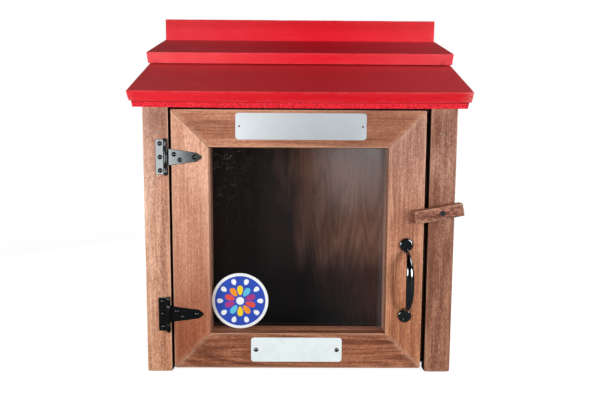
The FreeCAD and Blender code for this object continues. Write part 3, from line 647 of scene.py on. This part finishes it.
def stand_in(piece, node):
    """Puts a piece in a CAD node's place, on its body and with its finish."""
    bpy.context.scene.collection.objects.link(piece)
    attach(piece, frame["nodes"][node]["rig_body"])
    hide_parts(node)
    return piece


def dress(node, material):
    """Gives a CAD node its material."""
    mesh = frame["nodes"][node].data
    mesh.materials.clear()
    mesh.materials.append(material)


def soften(node, width):
    """Rounds a CAD node's sharp edges."""
    piece = frame["nodes"][node]
    weld = piece.modifiers.new("weld", "WELD")
    weld.merge_threshold = 0.00001
    plain = piece.modifiers.new("plain", "DECIMATE")
    plain.decimate_type = "DISSOLVE"
    plain.angle_limit = math.radians(0.4)
    bevel = piece.modifiers.new("bevel", "BEVEL")
    bevel.width = width * MM
    bevel.segments = 2
    bevel.limit_method = "ANGLE"
    bevel.angle_limit = math.radians(40)
    bevel.harden_normals = False
    bevel.use_clamp_overlap = False


FLAT = (X_AXIS, Y_AXIS, Z_AXIS)
ALONG_X = (X_AXIS, Z_AXIS, Y_AXIS)
UPRIGHT_SIDE = (Z_AXIS, Y_AXIS, X_AXIS)
LOWER_SLOPE = math.radians(31)
UPPER_SLOPE = math.radians(25.1)
EAVE_BOW = 1.0


def sloped(angle):
    """A roof board's axes: along it, up its slope and through it."""
    up_slope = Vector((0, math.cos(angle), math.sin(angle)))
    through = Vector((0, -math.sin(angle), math.cos(angle)))
    return X_AXIS, up_slope, through


def build_roof():
    """The two lapped boards, the deck under them and the ridge board."""
    low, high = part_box("roof_board_lower")
    corner_spots = [
        (Vector((low.x, low.y + 0.008, low.z + 0.002)), 7, 1.2, "scuff"),
        (Vector((high.x, low.y + 0.008, low.z + 0.004)), 11, 1.6, "scuff"),
        (Vector((high.x, low.y, low.z + 0.016)), 7, 0.9, "scuff"),
    ]
    paint = red_paint("red_lower", 1, RED_TONES, 0.03, 0.1, LOWER_RED_TINTS)
    board("roof_board_lower", paint, sloped(LOWER_SLOPE),
          spots=corner_spots, seed=1, warp=0.25, bow=EAVE_BOW)
    low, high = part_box("roof_board_upper")
    front_foot = Vector((0, low.y + 0.008, low.z))
    chip_spots = [(front_foot + Vector((low.x + x, 0, 0)), 2.5, 1.2, "chip") for x in (0.008, 0.014, 0.023)]
    chip_spots += [(front_foot + Vector((high.x - x, 0, 0)), 2.5, 1.0, "chip") for x in (0.02, 0.035)]
    paint = red_paint("red_upper", 2, UPPER_RED_TONES, 0.3, 0.015, UPPER_RED_TINTS)
    board("roof_board_upper", paint, sloped(UPPER_SLOPE),
          spots=chip_spots, seed=2, warp=0.25)
    low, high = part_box("ridge_board")
    nick = [(Vector((-0.037, low.y, high.z)), 7, 1.6, "bare")]
    paint = red_paint("red_ridge", 3, UPPER_RED_TONES, 0.12, tints=RIDGE_TINTS)
    board("ridge_board", paint, ALONG_X, spots=nick, seed=3, warp=0.5)
    board("roof_deck", plywood_edge("red_deck"), sloped(LOWER_SLOPE), seed=4, radius=0.9, ragged=0.5,
          bow=EAVE_BOW)


def build_posts_and_panels():
    """The two posts, the side panels and the back."""
    left = timber("post_left_wood", "Z", LEFT_POST, 1, broad=0.5, bands=0.6, cloud=0.9, speckle=1.1,
                  seams=0.3, saw=0.2, tints=LEFT_POST_PAINTED_SHADE, gap=-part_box("post_left")[1].x)
    right = timber("post_right_wood", "Z", RIGHT_POST, 2, broad=0.9, cloud=0.9, speckle=1.0, saw=0.5,
                   relief=0.6, worn=0.4, tints=RIGHT_POST_PAINTED_SHADE, gap=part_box("post_right")[0].x)
    for node, wood, seed in (("post_left", left, 5), ("post_right", right, 6)):
        low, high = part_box(node)
        worn_feet = [(Vector((x, low.y, low.z)), 5, 1.5, "bare") for x in (low.x, high.x)]
        board(node, wood, seed=seed, ragged=0.5, warp=0.3, spots=worn_feet)
    left = timber("side_left_wood", "Z", SIDE, 3, rings=1, saw=0.3)
    right = timber("side_right_wood", "Z", SIDE, 4, rings=1, saw=0.3)
    board("side_panel_left", left, UPRIGHT_SIDE, seed=7)
    board("side_panel_right", right, UPRIGHT_SIDE, seed=8)
    back = timber("back_wood", "Z", BACK, 9, streak=0.3, strand=0.3, speckle=0.3, rings=0.8,
                  tints=BACK_PAINTED_SHADE, inside=True)
    board("back_panel", back, ALONG_X, spacing=14, seed=13, radius=0.8)


def build_door_frame():
    """The four mitred boards of the door and the strips that hold its pane."""
    joints = dict(radius=0.9, ragged=0.25)
    left = timber("stile_left_wood", "Z", LEFT_STILE, 5, broad=0.5, bands=0.6, speckle=1.1, seams=0.3,
                  joint=0.8, tints=LEFT_STILE_PAINTED_SHADE)
    board("door_stile_left", left, seed=9, **joints)
    right = timber("stile_right_wood", "Z", RIGHT_STILE, 6, bands=0.6, cloud=0.6, speckle=1.0, seams=0.8,
                   tints=RIGHT_STILE_TINTS)
    board("door_stile_right", right, seed=10, **joints)
    top = timber("rail_top_wood", "X", TOP_RAIL, 7, broad=1.0, speckle=1.2, tints=TOP_RAIL_TINTS)
    board("door_rail_top", top, ALONG_X, seed=11, **joints)
    bottom = timber("rail_bottom_wood", "X", BOTTOM_RAIL, 8, speckle=1.2, rings=0.8)
    board("door_rail_bottom", bottom, ALONG_X, seed=12, **joints)
    level = timber("level_strip_wood", "X", LEDGE_PAINTED_LIGHT, 14)
    dress("glazing_stile_left", timber("strip_left_wood", "Z", LEFT_STRIP, 13))
    dress("glazing_stile_right", timber("strip_right_wood", "Z", RIGHT_STRIP_PAINTED_LIGHT, 18))
    dress("glazing_rail_top", level)
    dress("glazing_rail_bottom", level)


def build_inner_boards():
    """The floor, the cleats and the stops."""
    board("floor_board", timber("floor_wood", "X", INNER, 10), FLAT, spacing=14, seed=14)
    inner = timber("inner_wood", "Z", INNER, 11)
    for node in ("cleat_left", "cleat_right", "stop_left", "stop_right"):
        board(node, inner, seed=15, spacing=14)
    level = timber("inner_level_wood", "X", INNER, 12)
    board("head_stop", level, ALONG_X, seed=16, spacing=14)
    dress("packing_strip", level)


BUTTON_TILT = math.radians(10.9)


def build_button():
    """The turn button: a short rough block whose corners are worn round."""
    along = Vector((math.cos(BUTTON_TILT), 0, math.sin(BUTTON_TILT)))
    up = Vector((-math.sin(BUTTON_TILT), 0, math.cos(BUTTON_TILT)))
    wood = timber("button_wood", "X", BUTTON, 15, broad=0.4, bands=0.2, streak=0.4, strand=0.2, cloud=1.2,
                  speckle=1.8, relief=0.9, worn=0.3)
    low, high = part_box("button_screw")
    seat = Vector(((low.x + high.x) / 2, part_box("turn_button")[0].y, (low.z + high.z) / 2))
    board("turn_button", wood, (along, up, Y_AXIS), spacing=1.6, radius=2.4, ragged=1.0, warp=0.5,
          holes=[(seat, 3.2, 3.0)], seed=17)


def prism(name, outline, front, back, material):
    """A thin closed plate from an (x, z) outline, between two values of Y."""
    shape = bmesh.new()
    fore = [shape.verts.new((x, front, z)) for x, z in outline]
    aft = [shape.verts.new((x, back, z)) for x, z in outline]
    shape.faces.new(fore)
    shape.faces.new(aft[::-1])
    count = len(outline)
    for index in range(count):
        after = (index + 1) % count
        shape.faces.new((fore[index], aft[index], aft[after], fore[after]))
    bmesh.ops.recalc_face_normals(shape, faces=shape.faces)
    mesh = bpy.data.meshes.new(name)
    shape.to_mesh(mesh)
    shape.free()
    mesh.materials.append(material)
    return bpy.data.objects.new(name, mesh)


STICKER_WHITE = srgb(244, 247, 248)
STICKER_BLUE = srgb(44, 78, 186)
PETALS = (
    srgb(252, 214, 30),
    srgb(246, 152, 36),
    srgb(232, 82, 72),
    srgb(176, 58, 132),
    srgb(96, 196, 226),
)


def circle(centre, radius, count=96):
    points = []
    for step in range(count):
        turn = 2 * math.pi * step / count
        points.append((centre[0] + radius * math.cos(turn), centre[1] + radius * math.sin(turn)))
    return points


def petal(centre, turn, inner, outer, half, count=28):
    """A leaf shape that points away from the centre."""
    points = []
    for step in range(count):
        angle = 2 * math.pi * step / count
        out = (inner + outer) / 2 + (outer - inner) / 2 * math.cos(angle)
        aside = half * math.sin(angle) * (1 + 0.25 * math.cos(angle))
        x = out * math.cos(turn) - aside * math.sin(turn)
        z = out * math.sin(turn) + aside * math.cos(turn)
        points.append((centre[0] + x, centre[1] + z))
    return points


def add_layer(name, outline, layer, front, material):
    """One printed layer of the sticker, a little in front of the last."""
    face = front - layer * 0.04 * MM
    piece = prism(name, outline, face, face + 0.03 * MM, material)
    bpy.context.scene.collection.objects.link(piece)
    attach(piece, "door")


def build_sticker():
    """A round sticker with a white rim, a blue field and a plain flower."""
    low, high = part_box("round_sticker")
    centre = ((low.x + high.x) / 2, (low.z + high.z) / 2)
    radius = (high.x - low.x) / 2
    white = plastic_print("sticker_white", STICKER_WHITE)
    blue = plastic_print("sticker_blue", STICKER_BLUE)
    disc = prism("sticker_disc", circle(centre, radius), low.y, high.y, white)
    stand_in(disc, "round_sticker")
    add_layer("sticker_field", circle(centre, 0.895 * radius), 1, low.y, blue)
    inks = [plastic_print("sticker_ink_%d" % index, colour) for index, colour in enumerate(PETALS)]
    count = 10
    for index in range(count):
        turn = math.pi / 2 + 2 * math.pi * index / count
        outline = petal(centre, turn, 0.2 * radius, 0.56 * radius, 0.1 * radius)
        add_layer("sticker_petal_%02d" % index, outline, 2, low.y, inks[index % len(inks)])
        turn += math.pi / count
        outline = petal(centre, turn, 0.6 * radius, 0.82 * radius, 0.085 * radius)
        add_layer("sticker_leaf_%02d" % index, outline, 2, low.y, white)
    add_layer("sticker_heart", circle(centre, 0.14 * radius, 48), 2, low.y, white)


def dress_fittings():
    """Hinges, handle, plates, pane and fasteners keep their CAD shapes."""
    iron = coated_iron("black_iron", srgb(10, 11, 12), 0.17, 0.06, 0.06, 0.62)
    for place in ("upper", "lower"):
        for part in ("hinge_leaf_", "hinge_strap_", "hinge_pin_"):
            dress(part + place, iron)
        soften("hinge_leaf_" + place, 0.4)
        soften("hinge_strap_" + place, 0.6)
        for node in ("leaf_screws_" + place, "strap_screws_" + place):
            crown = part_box(node)[0].y + 0.0009
            dress(node, coated_iron(node + "_black", srgb(6, 6, 7), 0.22, 0.04, 0.0, 1.0, crown))
    gloss = coated_iron("gloss_black", srgb(4, 4, 5), 0.1, 0.04, gloss=1.0, ior=1.85)
    dress("pull_handle", gloss)
    dress("handle_screws", gloss)
    silver = bright_metal("brushed_silver", srgb(236, 243, 246), 0.55, True, SIGN_PAINTED_SHADE)
    dress("sign_plate", silver)
    dress("lower_plate", plastic_print("white_plate", srgb(239, 249, 250), 0.3))
    soften("sign_plate", 0.2)
    soften("lower_plate", 0.2)
    dress("button_screw", coated_iron("blued_steel", srgb(7, 8, 11), 0.3, 0.1, 0.0, 0.12))
    dress("lower_plate_screws", bright_metal("dark_steel", srgb(120, 116, 116), 0.22))
    dress("sign_pins", coated_iron("browned_steel", srgb(96, 34, 26), 0.5, 0.2))
    nail = bright_metal("nail_steel", srgb(120, 126, 130), 0.45)
    for node in ("post_nails", "side_nails", "deck_nails"):
        dress(node, nail)
    zinc = bright_metal("zinc", srgb(176, 178, 176), 0.35)
    for node in ("glazing_screws", "back_screws", "ridge_screws", "roof_screws", "button_washer"):
        dress(node, zinc)
    dress("glazing_pane", dusty_pane("pane"))


# Stage: floor, world, lamps and camera.

AMBIENT = 0.12
OVERHEAD = 0.25
ROOM_IN_FRONT = 0.04
ROOM_ABOVE = 0.04
NEAR_LIFT = 0.86
FAR_LIFT = 1.0


def backdrop_share(paint, place, start, end):
    """1 behind the cabinet, where the white backdrop stands, and less in front of it."""
    return paint.range(paint.part(place, "Y"), start, end, ROOM_IN_FRONT, 1.0)


def ray_share(paint, seen, mirrored, scattered):
    """One value for the camera, one for reflections and refractions, and one for all other rays."""
    path = paint.node("ShaderNodeLightPath").outputs
    bounced = paint.math("MAXIMUM", path["Is Glossy Ray"], path["Is Transmission Ray"])
    value = paint.choose(bounced, scattered, mirrored)
    return paint.choose(path["Is Camera Ray"], value, seen)


def build_floor():
    """A white floor. It keeps the cabinet's shadow and runs into the white backdrop."""
    mesh = bpy.data.meshes.new("floor")
    reach = 12.0
    corners = [(-reach, -reach, 0), (reach, -reach, 0), (reach, reach, 0), (-reach, reach, 0)]
    mesh.from_pydata(corners, [], [(0, 1, 2, 3)])
    floor = bpy.data.objects.new("floor", mesh)
    bpy.context.scene.collection.objects.link(floor)
    paint = Paint("floor_white")
    glossy = paint.node("ShaderNodeLightPath").outputs["Is Glossy Ray"]
    paint.colour(paint.mix(glossy, (0.42, 0.42, 0.42, 1), (0.06, 0.06, 0.06, 1)))
    away = paint.node("ShaderNodeVectorMath", operation="LENGTH")
    paint.feed(away.inputs[0], paint.place)
    seen = paint.range(away.outputs["Value"], 0.6, 2.5, NEAR_LIFT, FAR_LIFT)
    mirrored = paint.times(backdrop_share(paint, paint.place, -0.1, 0.5), FAR_LIFT)
    lift = ray_share(paint, seen, mirrored, 0.0)
    paint.feed(paint.shader.inputs["Emission Strength"], lift)
    mesh.materials.append(paint.set(Roughness=0.9, Specular_IOR_Level=0.0, Emission_Color=(1, 1, 1, 1)))


def build_world():
    """A white backdrop, and a dim even light that comes mostly from the level."""
    world = bpy.data.worlds.new("studio")
    bpy.context.scene.world = world
    world.use_nodes = True
    paint = Paint.over(world.node_tree)
    background = world.node_tree.nodes["Background"]
    background.inputs["Color"].default_value = (1, 1, 1, 1)
    way = paint.node("ShaderNodeTexCoord").outputs["Generated"]
    height = paint.part(way, "Z")
    level = paint.range(height, 0.15, 0.6, 1.0, ROOM_ABOVE)
    mirrored = paint.times(backdrop_share(paint, way, -0.1, 0.5), level)
    scattered = paint.range(height, 0.1, 0.8, AMBIENT, AMBIENT * OVERHEAD)
    paint.feed(background.inputs["Strength"], ray_share(paint, 1.0, mirrored, scattered))


LAMP_TARGET = Vector((0.0, -0.1, 0.5))


def add_lamp(name, azimuth, elevation, distance, size, power):
    """A soft rectangular lamp that faces the cabinet. Azimuth 0 is in front, and positive is to the right."""
    data = bpy.data.lights.new(name, "AREA")
    data.shape = "RECTANGLE"
    data.size, data.size_y = size
    data.energy = power
    lamp = bpy.data.objects.new(name, data)
    side, rise = math.radians(azimuth), math.radians(elevation)
    way = Vector((math.sin(side) * math.cos(rise), -math.cos(side) * math.cos(rise), math.sin(rise)))
    lamp.location = LAMP_TARGET + distance * way
    lamp.rotation_euler = way.to_track_quat("Z", "Y").to_euler()
    lamp.visible_camera = False
    bpy.context.scene.collection.objects.link(lamp)


def build_camera():
    data = bpy.data.cameras.new("camera")
    data.sensor_width = SENSOR
    data.lens = FOCAL_PIXELS / IMAGE_WIDTH * SENSOR
    camera = bpy.data.objects.new("camera", data)
    bpy.context.scene.collection.objects.link(camera)
    down, yaw, roll = CAMERA_DOWN, CAMERA_YAW, CAMERA_ROLL
    forward = Vector((math.sin(yaw) * math.cos(down), math.cos(yaw) * math.cos(down), -math.sin(down)))
    level = Vector((math.cos(yaw), -math.sin(yaw), 0))
    upright = level.cross(forward)
    right = level * math.cos(roll) + upright * math.sin(roll)
    above = upright * math.cos(roll) - level * math.sin(roll)
    turn = Matrix((right, above, -forward)).transposed().to_4x4()
    camera.matrix_world = Matrix.Translation(CAMERA_PLACE) @ turn
    bpy.context.scene.camera = camera


build_roof()
build_posts_and_panels()
build_door_frame()
build_inner_boards()
build_button()
build_sticker()
dress_fittings()
build_floor()
build_world()
add_lamp("lamp_front_left", -30, -6, 1.2, (0.22, 0.4), 3.6)
add_lamp("lamp_left", -52, -5, 1.3, (0.3, 0.5), 6.7)
add_lamp("lamp_front_right", 39, -8, 1.2, (0.36, 0.4), 7.2)
add_lamp("lamp_right", 72, 24, 1.25, (0.8, 0.6), 6.0)
add_lamp("lamp_back_left", -130, 5, 1.5, (0.6, 0.6), 8.0)
add_lamp("lamp_back_right", 125, 5, 1.5, (0.6, 0.6), 8.0)
build_camera()
bpy.context.scene.view_settings.view_transform = "Standard"
